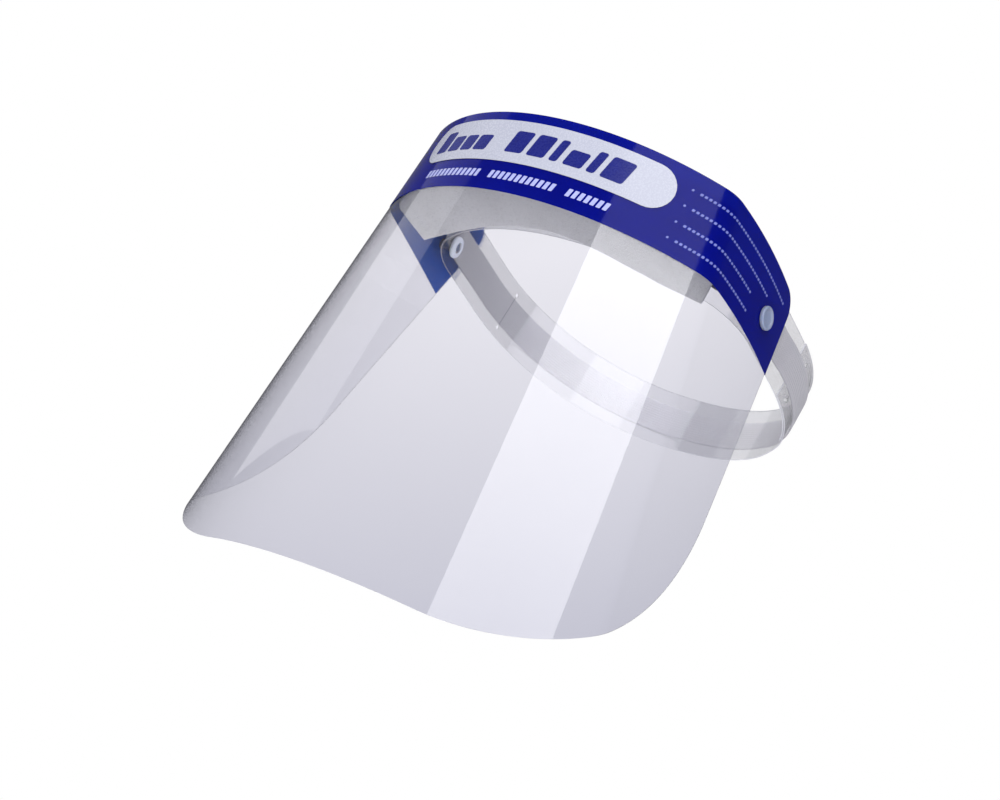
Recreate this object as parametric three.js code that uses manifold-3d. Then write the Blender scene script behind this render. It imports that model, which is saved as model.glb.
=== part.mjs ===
// A disposable face shield: a clear bent visor with a printed header, a foam brow pad,
// and a clear head band with an elastic strap, joined by one rivet at each temple.
//
// Millimetres, +Z up, the wearer looks along -Y. The origin is the centre of the head band.
// The visor is built in its own frame, whose origin is the middle of its top edge.

import * as THREE from "three";
import { mergeVertices } from "three/addons/utils/BufferGeometryUtils.js";
import Module from "manifold-3d";

const wasm = await Module();
wasm.setup();

// ---- driving dimensions ----

const GAP = 0.3; // between pieces that touch
const ROUND_SIDES = 24; // of rivets and their holes
const CORNER_STEPS = 8; // in a quarter turn of a sheet's edge
const FRONT_STEPS = 18; // in half of the visor's front arc

const QUARTER = Math.PI / 2;
const SIDES = [1, -1]; // the wearer's left and right
const X_AXIS = new THREE.Vector3(1, 0, 0);
const Y_AXIS = new THREE.Vector3(0, 1, 0);
const Z_AXIS = new THREE.Vector3(0, 0, 1);

// The visor sheet, as it is cut flat.
const SHEET = {
  width: 320,
  height: 220,
  thickness: 0.4,
  topCorner: 9,
  bottomCorner: 104,
  rows: 8,
};

// The sheet is bent round a cone that opens downwards. Seen from above, at this depth below
// its top edge, it is a wide arc, a tight bend at each temple and a nearly flat tail.
const CONE = { apexHeight: 527, levelDepth: 50 };
const BEND = [
  { radius: 122, length: 93.2 },
  { radius: 16.7, length: 11.3 },
  { radius: 450, length: 80 },
];
// The tails sag below the line of the front, most at their top corners.
const SAG = { from: 85, over: 75, depth: 7, fadePerMm: 0.0026 };

const HEADER = { height: 40, thickness: 0.2, rows: 4 };
const LABEL = { halfLength: 68, top: 4.5, bottom: 25.5, thickness: 0.15 };
const PRINT_GAP = 0.15; // printed layers lie on the sheet, column for column

const BAND = {
  height: 29,
  thickness: 0.5,
  halfWidth: 83.2,
  frontY: -84.5,
  cornerRadius: 38,
  sideY: -32.5,
  rearStartY: -3,
  rearY: 84.5,
  rearExponent: 2.15,
  columns: 132,
};
// The band's ends lap over each other on the wearer's left.
const LAP = { seamY: 5.5, innerEndY: 47, rampEndY: 63, lift: 0.85 };
const SLIT = { y: 16.5, halfLength: 9.8, width: 0.7, holeRadius: 1.1 };

const STRAP = { height: 15.6, thickness: 0.8, endY: -63, riseY: -12, fallY: 74, columns: 96 };

// The pivot through both temple rivets, in the part's frame and in the visor's.
const PIVOT = { y: -41, z: -5 };
const PIVOT_IN_VISOR = { y: 83.6, z: -28.2 };
const VISOR_TILT = 0.07; // the visor's bottom hangs in towards the chin, in radians

// The pad's inner face stays outside the circle that the band's top edge draws about the
// pivot. Its ends are at innerEnd along the band's outline and end along the sheet. Its
// bottom is level at the front and slopes down inwards at the sides, by up to sideDrop.
const PAD = {
  top: 4,
  bottom: 36.5,
  sideDrop: 6.5,
  dropOver: 80,
  end: 104.5,
  innerEnd: 1.3,
  clearance: 0.4,
};
const TAPE = { thickness: 0.5, inset: 4 };

const RIVET = { capRadius: 5.3, capRise: 1.5, rim: 0.7, shankRadius: 2, holeRadius: 2.4 };
const SOCKET = { radius: 5.2, rise: 1.3, rim: 0.9, boreRadius: 2.6, standoff: 0.7, depth: 3.4 };

// ---- materials ----

function material(color, roughness, extra = {}) {
  return new THREE.MeshStandardMaterial({ color, roughness, metalness: 0, ...extra });
}

const clearPlastic = () => material(0xeeeef8, 0.1, { transparent: true, opacity: 0.3 });
const blueInk = () => material(0x1424a0, 0.25);
const whiteInk = () => material(0xd8dbe9, 0.3);
const foam = () => material(0xc4c3ca, 0.95);
const tape = () => material(0xe4e0d2, 0.6);
const elastic = () => material(0xb9b7c4, 0.9);
const rivetPlastic = () => material(0xd9daea, 0.4);

// ---- solids ----

function toSolid(geometry) {
  const bare = geometry.clone();
  bare.deleteAttribute("normal");
  bare.deleteAttribute("uv");
  const merged = mergeVertices(bare, 1e-4);
  return new wasm.Manifold(
    new wasm.Mesh({
      numProp: 3,
      vertProperties: new Float32Array(merged.attributes.position.array),
      triVerts: new Uint32Array(merged.index.array),
    }),
  );
}

function toGeometry(solid) {
  const mesh = solid.getMesh();
  const geometry = new THREE.BufferGeometry();
  geometry.setAttribute("position", new THREE.BufferAttribute(mesh.vertProperties, 3));
  geometry.setIndex(new THREE.BufferAttribute(mesh.triVerts, 1));
  geometry.computeVertexNormals();
  return geometry;
}

function cut(geometry, tools) {
  let solid = toSolid(geometry);
  for (const tool of tools) {
    solid = solid.subtract(toSolid(tool));
  }
  return toGeometry(solid);
}

function named(name, geometry, look) {
  const mesh = new THREE.Mesh(geometry, look);
  mesh.name = name;
  return mesh;
}

// A box with one column of faces between each pair of stations, whose corners are then
// placed by place(station, across, through). across and through run from 0 to 1.
function bentSlab(stations, rows, place) {
  const columns = stations.length - 1;
  const geometry = new THREE.BoxGeometry(1, 1, 1, columns, rows, 1);
  const position = geometry.attributes.position;
  for (let i = 0; i < position.count; i += 1) {
    const column = Math.round((position.getX(i) + 0.5) * columns);
    const across = 0.5 - position.getY(i);
    const through = position.getZ(i) + 0.5;
    position.setXYZ(i, ...place(stations[column], across, through));
  }
  return geometry;
}

// Values from start to end in equal steps, without the start.
function steps(start, end, count) {
  return Array.from({ length: count }, (_, i) => start + ((end - start) * (i + 1)) / count);
}

// The same stations on both sides of zero.
function mirrored(half) {
  return [...half.map((value) => -value).reverse(), 0, ...half];
}

// ---- the visor's bent surface ----

// A point at arc length s along the bend at the level depth, with its heading.
function bendPoint(s) {
  let x = 0;
  let y = 0;
  let heading = 0;
  let left = Math.abs(s);
  for (const { radius, length } of BEND) {
    const run = Math.min(left, length);
    const turned = heading + run / radius;
    x += radius * (Math.sin(turned) - Math.sin(heading));
    y += radius * (Math.cos(heading) - Math.cos(turned));
    heading = turned;
    left -= run;
    if (left <= 0) break;
  }
  return { x: Math.sign(s) * x, y, heading: Math.sign(s) * heading };
}

// How much longer a level line round the cone is at depth v than at the level depth.
function stretch(v) {
  return (CONE.apexHeight + v) / (CONE.apexHeight + CONE.levelDepth);
}

// The visor's outer surface at u along and v down the flat sheet, moved outwards by out.
function visorPoint(u, v, out = 0) {
  const scale = stretch(v);
  const { x, y, heading } = bendPoint(u / scale);
  const past = Math.max(0, (Math.abs(u) - SAG.from) / SAG.over);
  const sag = SAG.depth * past * past * (1 - SAG.fadePerMm * v);
  return [
    x * scale + out * Math.sin(heading),
    y * scale - out * Math.cos(heading),
    -v - sag,
  ];
}

// How far a round corner of the sheet pulls its edge in at u.
function cornerPull(u, radius) {
  const past = Math.abs(u) - (SHEET.width / 2 - radius);
  if (past <= 0) return 0;
  return radius - Math.sqrt(Math.max(0, radius * radius - past * past));
}

const sheetTop = (u) => cornerPull(u, SHEET.topCorner);
const sheetBottom = (u) => SHEET.height - cornerPull(u, SHEET.bottomCorner);

const HALF = SHEET.width / 2;
const FRONT_END = BEND[0].length;
const BEND_END = FRONT_END + BEND[1].length;
const ROUNDED_END = HALF - SHEET.topCorner;

function sheetStations() {
  const rounded = steps(0, QUARTER, CORNER_STEPS).map(
    (angle) => ROUNDED_END + (HALF - ROUNDED_END) * Math.sin(angle),
  );
  return mirrored([
    ...steps(0, FRONT_END, FRONT_STEPS),
    ...steps(FRONT_END, BEND_END, CORNER_STEPS),
    ...steps(BEND_END, ROUNDED_END, CORNER_STEPS),
    ...rounded,
  ]);
}

// A column of faces follows the cone's own lines as far as the bend, and then spreads to
// reach the sheet's side edge.
function columnAt(station, v) {
  const bendEnd = BEND_END * stretch(v);
  const past = (Math.abs(station) - BEND_END) / (HALF - BEND_END);
  if (past <= 0) return station * stretch(v);
  return Math.sign(station) * THREE.MathUtils.lerp(bendEnd, HALF, past);
}

// A point of the sheet in this column whose depth is depthAt(u).
function columnPoint(station, depthAt, out) {
  let v = 0;
  let u = 0;
  for (let i = 0; i < 6; i += 1) {
    u = columnAt(station, v);
    v = depthAt(u);
  }
  return visorPoint(u, v, out);
}

function headerDepth(u, share) {
  return THREE.MathUtils.lerp(sheetTop(u), HEADER.height, share);
}

// The sheet's first rows are the header's, so that the two stay parallel.
function filmDepth(u, across) {
  const row = across * SHEET.rows;
  if (row <= HEADER.rows) return headerDepth(u, row / HEADER.rows);
  const share = (row - HEADER.rows) / (SHEET.rows - HEADER.rows);
  return THREE.MathUtils.lerp(HEADER.height, sheetBottom(u), share);
}

function visorSheet() {
  const film = bentSlab(sheetStations(), SHEET.rows, (station, across, through) => {
    const out = -SHEET.thickness * (1 - through);
    return columnPoint(station, (u) => filmDepth(u, across), out);
  });
  return cut(film, sheetHoles());
}

function headerPrint() {
  const print = bentSlab(sheetStations(), HEADER.rows, (station, across, through) => {
    const out = PRINT_GAP + HEADER.thickness * through;
    return columnPoint(station, (u) => headerDepth(u, across), out);
  });
  return cut(print, sheetHoles());
}

// A printed panel with half-round ends, on top of the blue header.
function labelPanel() {
  const radius = (LABEL.bottom - LABEL.top) / 2;
  const middle = (LABEL.bottom + LABEL.top) / 2;
  const straight = LABEL.halfLength - radius;
  const ends = steps(0, QUARTER, CORNER_STEPS).map((angle) => straight + radius * Math.sin(angle));
  const tip = ends.pop() - 0.05;
  const stations = mirrored([...steps(0, straight, 22), ...ends, tip]);
  const base = 2 * PRINT_GAP + HEADER.thickness;
  return bentSlab(stations, 2, (u, across, through) => {
    const past = Math.max(0, Math.abs(u) - straight);
    const half = Math.sqrt(radius * radius - past * past);
    const v = middle + half * (2 * across - 1);
    return visorPoint(u, v, base + LABEL.thickness * through);
  });
}

// ---- the head band's outline, seen from above ----

// The band's front arc and corner arc meet its straight side tangentially.
function bandFront() {
  const depth = BAND.sideY - BAND.frontY;
  const across = BAND.halfWidth - BAND.cornerRadius;
  const rise = depth - BAND.cornerRadius;
  const turn = 2 * Math.atan2(rise, across);
  const centres = across / Math.sin(turn);
  return { turn, radius: centres + BAND.cornerRadius, centres };
}

// The band's outline at station t, moved outwards by out. One unit of t is one stretch:
// front arc, corner arc, straight side, rear curve. 0 is the front, 4 the rear, 8 the front
// again, and the wearer's left side comes first.
function bandPoint(t, out = 0) {
  const turned = ((t % 8) + 8) % 8;
  const side = turned <= 4 ? 1 : -1;
  const [x, y] = halfBandPoint(turned <= 4 ? turned : 8 - turned, out);
  return [side * x, y];
}

function halfBandPoint(t, out) {
  const { turn, radius, centres } = bandFront();
  if (t <= 1) {
    const angle = turn * t;
    const y = BAND.frontY + radius - (radius + out) * Math.cos(angle);
    return [(radius + out) * Math.sin(angle), y];
  }
  if (t <= 2) {
    const angle = THREE.MathUtils.lerp(turn, QUARTER, t - 1);
    const reach = BAND.cornerRadius + out;
    const x = centres * Math.sin(turn) + reach * Math.sin(angle);
    return [x, BAND.sideY - reach * Math.cos(angle)];
  }
  if (t <= 3) {
    return [BAND.halfWidth + out, THREE.MathUtils.lerp(BAND.sideY, BAND.rearStartY, t - 2)];
  }
  const angle = (t - 3) * QUARTER;
  const power = 2 / BAND.rearExponent;
  const x = (BAND.halfWidth + out) * Math.max(0, Math.cos(angle)) ** power;
  const reach = BAND.rearY - BAND.rearStartY + out;
  return [x, BAND.rearStartY + reach * Math.sin(angle) ** power];
}

// The station behind the front arc with this y, on the wearer's left.
function stationAtY(y) {
  if (y < BAND.sideY) {
    const { turn } = bandFront();
    const angle = Math.acos((BAND.sideY - y) / BAND.cornerRadius);
    return 1 + (angle - turn) / (QUARTER - turn);
  }
  if (y < BAND.rearStartY) {
    return 2 + (y - BAND.sideY) / (BAND.rearStartY - BAND.sideY);
  }
  const share = (y - BAND.rearStartY) / (BAND.rearY - BAND.rearStartY);
  return 3 + Math.asin(share ** (BAND.rearExponent / 2)) / QUARTER;
}

const SEAM = stationAtY(LAP.seamY);
const INNER_END = stationAtY(LAP.innerEndY);
const RAMP_END = stationAtY(LAP.rampEndY);

// The strip starts at its outer end, at the seam, and runs rearwards all the way round
// until its inner end lies under its start. Its start is lifted over its end.
function bandLift(t) {
  return LAP.lift * (1 - THREE.MathUtils.smoothstep(t, INNER_END, RAMP_END));
}

function headBand() {
  const stations = [SEAM, ...steps(SEAM, INNER_END + 8, BAND.columns)];
  const band = bentSlab(stations, 2, (t, across, through) => {
    const out = BAND.thickness * (through - 0.5) + bandLift(t);
    return [...bandPoint(t, out), BAND.height * (0.5 - across)];
  });
  return cut(band, [...bandHoles(), ...slits()]);
}

// The strap rides over the lap.
function strapLift(t) {
  const up = THREE.MathUtils.smoothstep(t, stationAtY(STRAP.riseY), SEAM);
  const down = THREE.MathUtils.smoothstep(t, RAMP_END, stationAtY(STRAP.fallY));
  return LAP.lift * up * (1 - down);
}

// The strap lies on the band's outside, from under one end of the pad round the rear to
// under the other.
function elasticStrap() {
  const start = stationAtY(STRAP.endY);
  const stations = [start, ...steps(start, 8 - start, STRAP.columns)];
  const strap = bentSlab(stations, 2, (t, across, through) => {
    const out = BAND.thickness / 2 + GAP + STRAP.thickness * through + strapLift(t);
    return [...bandPoint(t, out), STRAP.height * (0.5 - across)];
  });
  return cut(strap, bandHoles());
}

// ---- the foam pad ----

// The pad's inner face over the band's station t, in the visor's frame.
function padInnerPoint(t) {
  const [x, y] = bandPoint(t, BAND.thickness / 2);
  const ahead = PIVOT.y - y;
  const above = BAND.height / 2 - PIVOT.z;
  const radius = Math.hypot(ahead, above) + PAD.clearance;
  return [x, PIVOT_IN_VISOR.y - radius];
}

function padStations(end) {
  return mirrored([...steps(0, FRONT_END, FRONT_STEPS), ...steps(FRONT_END, end, 6)]);
}

function foamPad() {
  const outside = -(SHEET.thickness + GAP + TAPE.thickness + GAP);
  return bentSlab(padStations(PAD.end), 3, (station, across, through) => {
    const v = THREE.MathUtils.lerp(PAD.top, PAD.bottom, across);
    const outer = visorPoint(columnAt(station, v), v, outside);
    const drop = PAD.sideDrop * THREE.MathUtils.smoothstep(Math.abs(station), 0, PAD.dropOver);
    const inner = [...padInnerPoint((PAD.innerEnd * station) / PAD.end), -v - drop * across];
    return outer.map((value, axis) => THREE.MathUtils.lerp(inner[axis], value, through));
  });
}

function foamTape() {
  return bentSlab(padStations(PAD.end - TAPE.inset), 2, (station, across, through) => {
    const v = THREE.MathUtils.lerp(PAD.top + TAPE.inset, PAD.bottom - TAPE.inset, across);
    const out = -(SHEET.thickness + GAP + TAPE.thickness * (1 - through));
    return visorPoint(columnAt(station, v), v, out);
  });
}

// ---- holes ----

function barAlongX(radius, x, y, z, length) {
  const bar = new THREE.CylinderGeometry(radius, radius, length, ROUND_SIDES);
  return bar.rotateZ(QUARTER).translate(x, y, z);
}

function sheetHoles() {
  const { y, z } = PIVOT_IN_VISOR;
  return SIDES.map((side) => barAlongX(RIVET.holeRadius, side * HALF, y, z, HALF));
}

function bandHoles() {
  const x = BAND.halfWidth;
  return SIDES.map((side) => barAlongX(RIVET.holeRadius, side * x, PIVOT.y, PIVOT.z, x));
}

// A slit across the band with a round stress-relief hole at each end, on both sides.
function slits() {
  const { halfLength, width, holeRadius, y } = SLIT;
  const slot = new THREE.Shape();
  const mouth = Math.asin(width / 2 / holeRadius);
  slot.absarc(0, halfLength, holeRadius, -QUARTER + mouth, 3 * QUARTER - mouth, false);
  slot.absarc(0, -halfLength, holeRadius, QUARTER + mouth, 5 * QUARTER - mouth, false);
  const depth = BAND.halfWidth / 2;
  const cutter = new THREE.ExtrudeGeometry(slot, { depth, bevelEnabled: false });
  const alongX = new THREE.Matrix4().makeBasis(Y_AXIS, Z_AXIS, X_AXIS);
  cutter.applyMatrix4(alongX);
  return SIDES.map((side) => {
    return cutter.clone().translate(side * BAND.halfWidth - depth / 2, y, 0);
  });
}

// ---- rivets ----

// A profile turned about the line that starts at place and points along direction.
function lathed(profile, place, direction) {
  const turn = new THREE.Quaternion().setFromUnitVectors(Y_AXIS, direction);
  const shape = new THREE.LatheGeometry(profile, ROUND_SIDES);
  return shape.applyQuaternion(turn).translate(place.x, place.y, place.z);
}

// A dome over a short rim, from the axis or from a bore of this radius.
function domeProfile(radius, rim, rise, bore) {
  const first = bore > 0 ? bore / radius : 0;
  const dome = steps(1, first, 7).map((share) => {
    return new THREE.Vector2(radius * share, rim + rise * Math.sqrt(1 - share * share));
  });
  const profile = [
    new THREE.Vector2(bore, 0),
    new THREE.Vector2(radius, 0),
    new THREE.Vector2(radius, rim),
    ...dome,
  ];
  return bore > 0 ? [...profile, new THREE.Vector2(bore, 0)] : profile;
}

// Where the sheet's surface crosses the pivot's height and depth, with its outward normal.
function sheetAtPivot(out) {
  let u = PIVOT_IN_VISOR.y;
  let v = -PIVOT_IN_VISOR.z;
  for (let i = 0; i < 40; i += 1) {
    const [, y, z] = visorPoint(u, v, out);
    u += PIVOT_IN_VISOR.y - y;
    v += z - PIVOT_IN_VISOR.z;
  }
  const place = new THREE.Vector3(...visorPoint(u, v, out));
  const along = new THREE.Vector3(...visorPoint(u + 1, v, out)).sub(place);
  const down = new THREE.Vector3(...visorPoint(u, v + 1, out)).sub(place);
  return { place, normal: down.cross(along).normalize() };
}

function onSide(vector, side) {
  return new THREE.Vector3(side * vector.x, vector.y, vector.z);
}

// The cap lies on the printed sheet. Its shank is the pivot and runs inwards along X.
function rivet(side) {
  const { place, normal } = sheetAtPivot(PRINT_GAP + HEADER.thickness + GAP);
  const profile = domeProfile(RIVET.capRadius, RIVET.rim, RIVET.capRise, 0);
  const cap = lathed(profile, onSide(place, side), onSide(normal, side));
  const end = BAND.halfWidth - SOCKET.depth;
  const length = place.x + RIVET.rim - end;
  const { y, z } = PIVOT_IN_VISOR;
  const shank = barAlongX(RIVET.shankRadius, side * (end + length / 2), y, z, length);
  return toGeometry(toSolid(cap).add(toSolid(shank)));
}

// The socket lies against the inside of the band, round the shank.
function rivetSocket(side) {
  const at = stationAtY(PIVOT.y);
  const [x, y] = bandPoint(at, -(BAND.thickness / 2 + SOCKET.standoff));
  const [ahead, behind] = [bandPoint(at - 0.02), bandPoint(at + 0.02)];
  const inwards = new THREE.Vector3(ahead[1] - behind[1], behind[0] - ahead[0], 0).normalize();
  const profile = domeProfile(SOCKET.radius, SOCKET.rim, SOCKET.rise, SOCKET.boreRadius);
  const place = new THREE.Vector3(x, y, PIVOT.z);
  return lathed(profile, onSide(place, side), onSide(inwards, side));
}

// ---- assembly ----

function visorGroup() {
  const sheetFrame = new THREE.Group();
  sheetFrame.position.set(0, -PIVOT_IN_VISOR.y, -PIVOT_IN_VISOR.z);
  sheetFrame.add(
    named("visor_film", visorSheet(), clearPlastic()),
    named("header_print", headerPrint(), blueInk()),
    named("header_label", labelPanel(), whiteInk()),
    named("foam_pad", foamPad(), foam()),
    named("foam_tape", foamTape(), tape()),
    named("rivet_left", rivet(1), rivetPlastic()),
    named("rivet_right", rivet(-1), rivetPlastic()),
  );
  const turned = new THREE.Group();
  turned.position.set(0, PIVOT.y, PIVOT.z);
  turned.rotation.x = VISOR_TILT;
  turned.add(sheetFrame);
  return turned;
}

function bandGroup() {
  const band = new THREE.Group();
  band.add(
    named("head_band", headBand(), clearPlastic()),
    named("elastic_strap", elasticStrap(), elastic()),
    named("rivet_socket_left", rivetSocket(1), rivetPlastic()),
    named("rivet_socket_right", rivetSocket(-1), rivetPlastic()),
  );
  return band;
}

const shield = new THREE.Group();
shield.add(bandGroup(), visorGroup());

export default shield;
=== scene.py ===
"""A disposable face shield: the visual model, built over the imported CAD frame.

Shapes are worked out in millimetres and made in metres. The visor's sheet is described by
u, the distance along it from its middle, and v, the distance down from its top edge. The
head band and the elastic are described by t, a station round the band, and z.
"""

import math

import bmesh
import bpy
import numpy as np
from mathutils import Matrix, Vector, noise


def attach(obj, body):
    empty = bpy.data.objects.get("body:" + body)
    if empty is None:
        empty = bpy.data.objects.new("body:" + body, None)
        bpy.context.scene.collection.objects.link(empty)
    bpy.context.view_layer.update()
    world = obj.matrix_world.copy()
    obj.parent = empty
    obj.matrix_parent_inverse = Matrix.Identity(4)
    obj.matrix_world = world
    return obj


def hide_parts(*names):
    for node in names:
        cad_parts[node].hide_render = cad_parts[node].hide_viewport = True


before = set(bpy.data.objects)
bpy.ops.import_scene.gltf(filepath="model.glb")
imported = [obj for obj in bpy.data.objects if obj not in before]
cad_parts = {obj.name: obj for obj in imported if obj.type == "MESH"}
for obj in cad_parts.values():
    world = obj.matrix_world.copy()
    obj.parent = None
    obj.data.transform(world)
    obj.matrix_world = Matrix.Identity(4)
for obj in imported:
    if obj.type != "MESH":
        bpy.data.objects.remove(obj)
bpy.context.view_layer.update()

MM = 0.001
QUARTER = math.pi / 2
SIDES = (1, -1)  # the wearer's left and right

# ---- sizes shared with the CAD part, in mm ----

GAP = 0.3
SHEET_WIDTH, SHEET_HEIGHT, SHEET_THICKNESS = 320, 220, 0.4
TOP_CORNER, BOTTOM_CORNER = 9, 104
HALF = SHEET_WIDTH / 2
APEX_HEIGHT, LEVEL_DEPTH = 527, 50
BEND = ((122, 93.2), (16.7, 11.3), (450, 80))  # radius, length
FRONT_END = BEND[0][1]
BEND_END = FRONT_END + BEND[1][1]
SAG_FROM, SAG_OVER, SAG_DEPTH, SAG_FADE = 85, 75, 7, 0.0026

HEADER_HEIGHT = 40
PRINT_GAP, PRINT_THICKNESS = 0.15, 0.2
LABEL_HALF, LABEL_TOP, LABEL_BOTTOM, LABEL_THICKNESS = 68, 4.5, 25.5, 0.15
LABEL_BASE = 2 * PRINT_GAP + PRINT_THICKNESS
MARK_THICKNESS = 0.08

BAND_HEIGHT, BAND_THICKNESS, BAND_HALF = 29, 0.5, 83.2
FRONT_Y, CORNER_RADIUS, SIDE_Y, REAR_START_Y, REAR_Y = -84.5, 38, -32.5, -3, 84.5
REAR_EXPONENT = 2.15
ROUND = 8  # stations in one turn round the band
SEAM_Y, INNER_END_Y, RAMP_END_Y, LAP_LIFT = 5.5, 47, 63, 0.85
SLIT_Y, SLIT_HALF, SLIT_HOLE = 16.5, 9.8, 1.1
SLIT_WIDTH = 0.15  # narrower than the CAD's slit, because its lips are nearly closed
STRAP_HEIGHT, STRAP_THICKNESS = 15.6, 0.8
STRAP_END_Y, STRAP_RISE_Y, STRAP_FALL_Y = -63, -12, 74

PIVOT_Y, PIVOT_Z = -41, -5
PIVOT_V_Y, PIVOT_V_Z = 83.6, -28.2  # the pivot in the visor's frame
VISOR_TILT = 0.07

PAD_TOP, PAD_BOTTOM, PAD_END, PAD_INNER_END = 4, 36.5, 104.5, 1.3
PAD_SIDE_DROP, PAD_DROP_OVER, PAD_CLEARANCE = 6.5, 80, 0.4
TAPE_THICKNESS = 0.5
PAD_OUTER = SHEET_THICKNESS + GAP + TAPE_THICKNESS + GAP
CAP_RADIUS, SHANK_RADIUS, HOLE_RADIUS = 5.3, 2, 2.4
SOCKET_RADIUS, SOCKET_BORE, SOCKET_STANDOFF, SOCKET_DEPTH = 5.2, 2.6, 0.7, 3.4

# ---- sizes that only the visual model has, in mm ----

FILM_ROWS, HEADER_ROWS = 90, 24
BAND_ROWS, BAND_COLUMNS = 13, 420
STRAP_ROWS, STRAP_COLUMNS = 89, 460
CUTTER_LENGTH = 40

PAD_FACES = (150, 26, 26)  # along, down and through
PAD_DEPTH, PAD_EDGE_RADIUS = 32.0, 1.6
PAD_CROWN_ACROSS, PAD_CROWN_ALONG = 0.035, 0.04  # shares of the depth
RIBS, RIB_DEPTH, SELVEDGE, SELVEDGE_DROP = 11, 0.16, 0.9, 0.05
STRAP_EDGE, STRAP_EDGE_DROP = 0.6, 0.22

CAP_GAP, CAP_HEIGHT, CAP_EDGE = 0.1, 1.15, 0.75
CAP_DISH = ((3.6, CAP_HEIGHT), (3.2, 1.0), (1.2, 0.95), (0, 0.95))  # radius, height
SHANK_ROOT, SHANK_EDGE = 0.5, 0.4
SOCKET_EDGE, LIP_HEIGHT, LIP_EDGE = 0.9, 1.7, 0.5


# ---- meshes ----


def make_piece(name, mesh, body, materials, replaced=()):
    """Put a mesh in the scene. Its faces keep their places in the list of materials."""
    looks = np.zeros(len(mesh.polygons), np.int32)
    mesh.polygons.foreach_get("material_index", looks)
    mesh.materials.clear()
    for material in materials:
        mesh.materials.append(material)
    mesh.polygons.foreach_set("material_index", looks)
    piece = bpy.data.objects.new(name, mesh)
    bpy.context.scene.collection.objects.link(piece)
    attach(piece, body)
    if replaced:
        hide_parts(*replaced)
    return piece


def grid_faces(rows, cols):
    """The quads of a grid of points, by the points' numbers."""
    at = np.arange(rows * cols).reshape(rows, cols)
    quads = [at[:-1, :-1], at[1:, :-1], at[1:, 1:], at[:-1, 1:]]
    return np.stack(quads, -1).reshape(-1, 4)


def rim_loop(rows, cols):
    """The points round a grid's edge, in order."""
    at = np.arange(rows * cols).reshape(rows, cols)
    return np.concatenate([at[0, :-1], at[:-1, -1], at[-1, :0:-1], at[:0:-1, 0]])


def skin_parts(panel, start, inner_look, rim_look):
    """One closed skin's points, faces, looks, uv and sharp edges, numbered from start."""
    outer, inner, uv = panel
    rows, cols = outer.shape[:2]
    count = rows * cols
    front = grid_faces(rows, cols)
    rim = rim_loop(rows, cols)
    after = np.roll(rim, -1)
    side = np.stack([rim, after, after + count, rim + count], -1)
    points = np.concatenate([outer.reshape(-1, 3), inner.reshape(-1, 3)])
    faces = np.concatenate([front, front[:, ::-1] + count, side]) + start
    looks = np.repeat([0, inner_look, rim_look], [len(front), len(front), len(side)])
    edges = np.stack([rim, after], -1)
    sharp = np.concatenate([edges, edges + count]) + start
    return points, faces, looks, np.tile(uv.reshape(-1, 2), (2, 1)), sharp


def skin_mesh(name, panels, inner_look=0, rim_look=0):
    """One mesh of closed skins. A panel is (outer points, inner points, uv) over a grid.

    A look is the material that those faces take, by its place in the piece's list.
    """
    skins = []
    start = 0
    for panel in panels:
        skins.append(skin_parts(panel, start, inner_look, rim_look))
        start += len(skins[-1][0])
    points, faces, looks, uv, sharp = (np.concatenate(part) for part in zip(*skins))
    mesh = bpy.data.meshes.new(name)
    mesh.from_pydata((points * MM).tolist(), [], faces.tolist())
    for _ in range(max(looks) + 1):
        mesh.materials.append(None)
    mesh.polygons.foreach_set("material_index", looks.astype(np.int32))
    layer = mesh.uv_layers.new(name="flat")
    corners = np.zeros(len(mesh.loops), np.int32)
    mesh.loops.foreach_get("vertex_index", corners)
    layer.data.foreach_set("uv", uv[corners].astype(np.float32).ravel())
    smooth_but(mesh, sharp)
    return mesh


def smooth_but(mesh, sharp_pairs):
    """Smooth shading, with these edges left sharp and all faces turned outwards."""
    wanted = {tuple(sorted(pair)) for pair in sharp_pairs.tolist()}
    form = bmesh.new()
    form.from_mesh(mesh)
    bmesh.ops.recalc_face_normals(form, faces=form.faces)
    for face in form.faces:
        face.smooth = True
    for edge in form.edges:
        if tuple(sorted(v.index for v in edge.verts)) in wanted:
            edge.smooth = False
    form.to_mesh(mesh)
    form.free()


# ---- the visor's bent surface ----


def stretch(v):
    """How wide the cone is at this depth, next to its width at the level depth."""
    return (APEX_HEIGHT + v) / (APEX_HEIGHT + LEVEL_DEPTH)


def bend_points(s):
    """Where arc lengths s lie along the bend at the level depth, and their headings."""
    x, y, heading = (np.zeros_like(s) for _ in range(3))
    left = np.abs(s)
    for i, (radius, length) in enumerate(BEND):
        run = left if i == len(BEND) - 1 else np.minimum(left, length)
        turned = heading + run / radius
        x = x + radius * (np.sin(turned) - np.sin(heading))
        y = y + radius * (np.cos(heading) - np.cos(turned))
        heading = turned
        left = left - run
    return np.sign(s) * x, y, np.sign(s) * heading


def into_row(points):
    """Points of the visor's frame in the part's frame."""
    moved = points - np.array([0, PIVOT_V_Y, PIVOT_V_Z])
    turn = np.array(Matrix.Rotation(VISOR_TILT, 3, "X"))
    return moved @ turn.T + np.array([0, PIVOT_Y, PIVOT_Z])


def visor_points(u, v, out=0.0):
    """The visor's outer surface at u and v, moved outwards, in the part's frame."""
    scale = stretch(v)
    x, y, heading = bend_points(u / scale)
    past = np.maximum(0, (np.abs(u) - SAG_FROM) / SAG_OVER)
    sag = SAG_DEPTH * past * past * (1 - SAG_FADE * v)
    place = [x * scale + out * np.sin(heading), y * scale - out * np.cos(heading), -v - sag]
    return into_row(np.stack(np.broadcast_arrays(*place), -1))


def corner_pull(u, radius):
    """How far a round corner stands back from the sheet's straight edge at u."""
    past = np.maximum(0, np.abs(u) - (HALF - radius))
    return radius - np.sqrt(np.maximum(0, radius * radius - past * past))


def sheet_top(u):
    return corner_pull(u, TOP_CORNER)


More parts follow.
